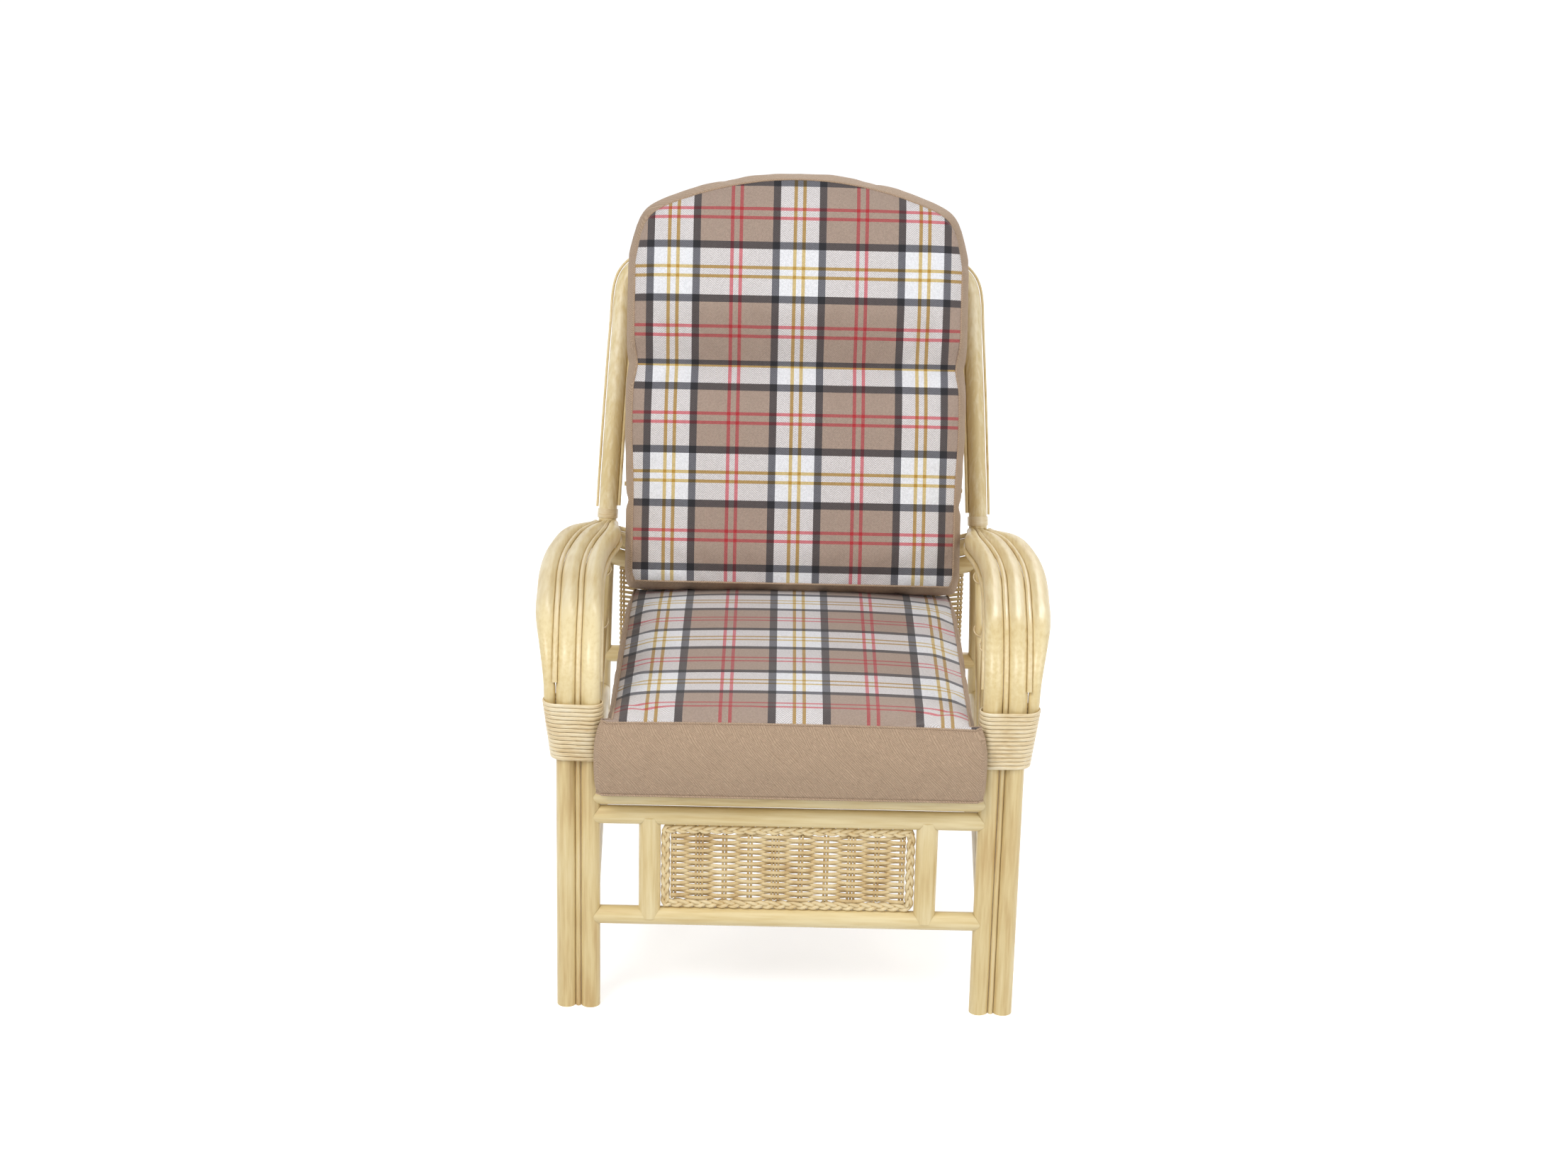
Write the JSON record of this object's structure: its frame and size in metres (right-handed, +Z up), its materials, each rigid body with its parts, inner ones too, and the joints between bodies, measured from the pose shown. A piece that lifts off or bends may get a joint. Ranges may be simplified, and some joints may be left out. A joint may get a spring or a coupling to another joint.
{
  "type": "cane armchair",
  "caption": "Bent cane lounge armchair with bound triple-pole arms, woven apron panel and loose seat and back cushions in a tartan check",
  "frame": {"origin": "middle of the footprint's bounding box, on the floor", "axes": "+X to the viewer's right when facing the chair, -Y out of the front, +Z up"},
  "size_m": [0.7208, 0.8378, 1.0222],
  "materials": {
    "cane_pole": "satin lacquer",
    "cane_strip": "satin lacquer",
    "cane_peel": "satin lacquer",
    "wicker": "satin lacquer",
    "check_fabric": "herringbone twill",
    "foam": "open-cell foam"
  },
  "bodies": {
    "frame": {"inner_arm_right": "cane_pole", "inner_arm_left": "cane_pole", "middle_arm_right": "cane_pole", "middle_arm_left": "cane_pole", "outer_arm_right": "cane_pole", "outer_arm_left": "cane_pole", "back_post_right": "cane_pole", "back_post_left": "cane_pole", "side_rail_right": "cane_pole", "side_rail_left": "cane_pole", "side_stretcher_right": "cane_pole", "side_stretcher_left": "cane_pole", "apron_post_right": "cane_pole", "apron_post_left": "cane_pole", "side_uprights_right": "cane_pole", "side_uprights_left": "cane_pole", "side_cross_canes_right": "cane_pole", "side_cross_canes_left": "cane_pole", "top_rail": "cane_pole", "upper_lumbar_rail": "cane_pole", "lower_lumbar_rail": "cane_pole", "back_spindles": "cane_pole", "back_cross_canes": "cane_pole", "upper_front_rail": "cane_pole", "lower_front_rail": "cane_pole", "apron_stretcher": "cane_pole", "rear_rail": "cane_pole", "seat_bearers": "cane_pole", "inner_arm_strip_right": "cane_strip", "inner_arm_strip_left": "cane_strip", "outer_arm_strip_right": "cane_strip", "outer_arm_strip_left": "cane_strip", "under_arm_strip_right": "cane_strip", "under_arm_strip_left": "cane_strip", "post_outer_strip_right": "cane_strip", "post_outer_strip_left": "cane_strip", "post_inner_beads_right": "cane_strip", "post_inner_beads_left": "cane_strip", "lumbar_strip": "cane_strip", "front_binding_right": "cane_peel", "front_binding_left": "cane_peel", "rear_strap_right": "cane_peel", "rear_strap_left": "cane_peel", "side_ties_right": "cane_peel", "side_ties_left": "cane_peel", "back_ties": "cane_peel", "apron_panel": "wicker", "apron_border": "wicker", "lower_back_panel": "wicker"},
    "seat_cushion": {"seat_cover": "check_fabric", "seat_core": "foam"},
    "back_cushion": {"back_cover": "check_fabric", "back_core": "foam"}
  },
  "joints": [
    {"name": "seat_cushion_slide", "type": "slide", "parent": "frame", "child": "seat_cushion", "axis": [0, -0.9978, 0.0663], "range_m": [0, 0.62]},
    {"name": "back_cushion_slide", "type": "slide", "parent": "frame", "child": "back_cushion", "axis": [0, -0.9455, 0.3256], "range_m": [0, 0.45]}
  ]
}
